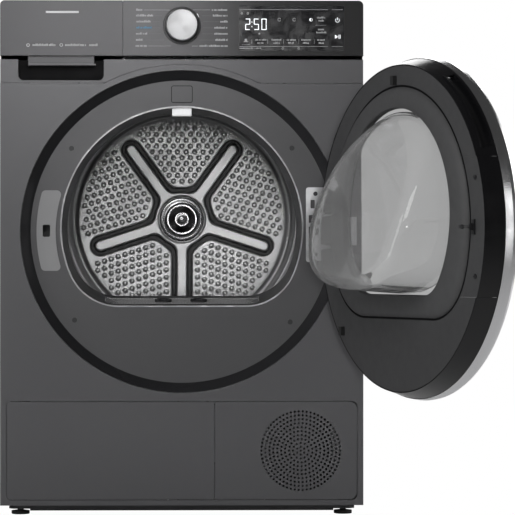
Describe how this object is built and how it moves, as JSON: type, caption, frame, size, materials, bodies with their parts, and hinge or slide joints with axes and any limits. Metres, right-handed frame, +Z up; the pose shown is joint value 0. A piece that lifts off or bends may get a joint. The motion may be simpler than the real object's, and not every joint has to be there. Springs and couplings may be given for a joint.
{
  "type": "clothes dryer",
  "caption": "Front-loading heat-pump clothes dryer with an open round glass door, stamped steel drum, programme knob, pull-out water tank and lint filter.",
  "frame": {"origin": "on the floor plane, under the middle of the cabinet's footprint", "axes": "+X to the viewer's right, +Y from the front panel into the machine, +Z up"},
  "size_m": [0.7859, 1.1287, 0.845],
  "materials": {
    "cabinet_paint": "satin dark graphite paint",
    "front_paint": "satin metallic graphite paint",
    "top_paint": "fine-textured graphite top",
    "galvanised": "galvanised sheet with spangle",
    "gloss_black": "gloss black moulding",
    "recess_plastic": "fine matt dark grey moulding",
    "satin_trim": "satin steel lip",
    "lamp_lens": "frosted lens",
    "grey_plastic": "matt light grey moulding",
    "black_plastic": "matt black moulding",
    "bare_steel": "plated steel",
    "fascia_black": "satin gloss black fascia",
    "display_black": "gloss black display window",
    "circuit_board": "green solder mask",
    "tank_plastic": "translucent natural tank",
    "rubber_black": "matt black rubber",
    "motor_grey": "painted motor case",
    "fin_aluminium": "bare fins",
    "compressor_black": "black enamel",
    "felt": "wool felt",
    "screw_steel": "plated screws and plugs",
    "door_grey": "matt dark grey moulding",
    "chrome_trim": "satin chrome",
    "smoked_glass": "lightly smoked glass",
    "clear_glass": "clear pressed glass",
    "seal_rubber": "soft dark grey rubber",
    "drum_steel": "stamped stainless steel",
    "hub_steel": "turned steel",
    "knob_aluminium": "spun aluminium",
    "filter_plastic": "grey mesh filter"
  },
  "bodies": {
    "cabinet": {"side_panel_left": "cabinet_paint", "side_panel_right": "cabinet_paint", "worktop": "top_paint", "rear_panel": "galvanised", "top_crossbars": "galvanised", "front_panel": "front_paint", "upper_trim": "front_paint", "door_surround": "gloss_black", "front_bulkhead": "recess_plastic", "opening_lip": "satin_trim", "drum_lamp_lens": "lamp_lens", "lamp_cover": "recess_plastic", "latch_plate": "grey_plastic", "door_lock": "black_plastic", "hinge_plate": "bare_steel", "hinge_pin": "bare_steel", "control_fascia": "fascia_black", "display_window": "display_black", "control_board": "circuit_board", "tank_housing": "grey_plastic", "base_housing": "black_plastic", "levelling_feet": "rubber_black", "grille_panel": "front_paint", "rear_bulkhead": "galvanised", "rear_air_duct": "grey_plastic", "drive_motor": "motor_grey", "evaporator": "fin_aluminium", "condenser": "fin_aluminium", "compressor": "compressor_black", "condensate_pump": "grey_plastic", "drum_felt_seals": "felt", "drive_belt": "rubber_black", "mains_gland": "black_plastic", "drain_spigot": "grey_plastic", "cabinet_screws": "screw_steel"},
    "door": {"door_rim": "gloss_black", "door_inner_frame": "door_grey", "latch_side_cover": "door_grey", "chrome_ring": "chrome_trim", "door_glass": "smoked_glass", "door_bowl": "clear_glass", "door_seal": "seal_rubber", "latch_hook": "black_plastic", "door_bumpers": "rubber_black", "door_screws": "black_plastic", "hinge_leaf": "bare_steel"},
    "drum": {"drum_shell": "drum_steel", "drum_back_plate": "drum_steel", "hub_cap": "hub_steel", "drum_shaft": "bare_steel", "drum_lifters": "grey_plastic"},
    "motor_rotor": {"motor_pulley": "bare_steel", "fan_impeller": "black_plastic"},
    "front_roller_left": {"front_roller_left": "rubber_black"},
    "front_roller_right": {"front_roller_right": "rubber_black"},
    "programme_knob": {"programme_knob": "knob_aluminium"},
    "tank_drawer": {"drawer_front": "fascia_black", "water_tank": "tank_plastic"},
    "lint_filter": {"lint_filter": "filter_plastic"},
    "service_flap": {"service_flap": "front_paint"}
  },
  "joints": [
    {"name": "door_hinge", "type": "hinge", "parent": "cabinet", "child": "door", "pos_m": [0.258, -0.326, 0.468], "axis": [0, 0, 1], "range_deg": [-115, 35]},
    {"name": "drum_spin", "type": "hinge", "parent": "cabinet", "child": "drum", "pos_m": [0, 0, 0.495], "axis": [0, 1, 0], "continuous": true},
    {"name": "motor_spin", "type": "hinge", "parent": "cabinet", "child": "motor_rotor", "pos_m": [0.15, 0.15, 0.13], "axis": [0, 1, 0], "continuous": true},
    {"name": "roller_left_spin", "type": "hinge", "parent": "cabinet", "child": "front_roller_left", "pos_m": [-0.16285, -0.182, 0.23439], "axis": [0, 1, 0], "continuous": true},
    {"name": "roller_right_spin", "type": "hinge", "parent": "cabinet", "child": "front_roller_right", "pos_m": [0.16285, -0.182, 0.23439], "axis": [0, 1, 0], "continuous": true},
    {"name": "knob_turn", "type": "hinge", "parent": "cabinet", "child": "programme_knob", "pos_m": [0, -0.31, 0.8037], "axis": [0, 1, 0], "continuous": true},
    {"name": "tank_slide", "type": "slide", "parent": "cabinet", "child": "tank_drawer", "axis": [0, -1, 0], "range_m": [0, 0.42]},
    {"name": "filter_lift", "type": "slide", "parent": "cabinet", "child": "lint_filter", "axis": [0, 0, 1], "range_m": [0, 0.13]},
    {"name": "flap_drop", "type": "hinge", "parent": "cabinet", "child": "service_flap", "pos_m": [-0.117, -0.296, 0.036], "axis": [1, 0, 0], "range_deg": [0, 90]}
  ],
  "couplings": [
    {"joint": "motor_spin", "follows": "drum_spin", "ratio": 31.333},
    {"joint": "roller_left_spin", "follows": "drum_spin", "ratio": -11.28},
    {"joint": "roller_right_spin", "follows": "drum_spin", "ratio": -11.28}
  ]
}
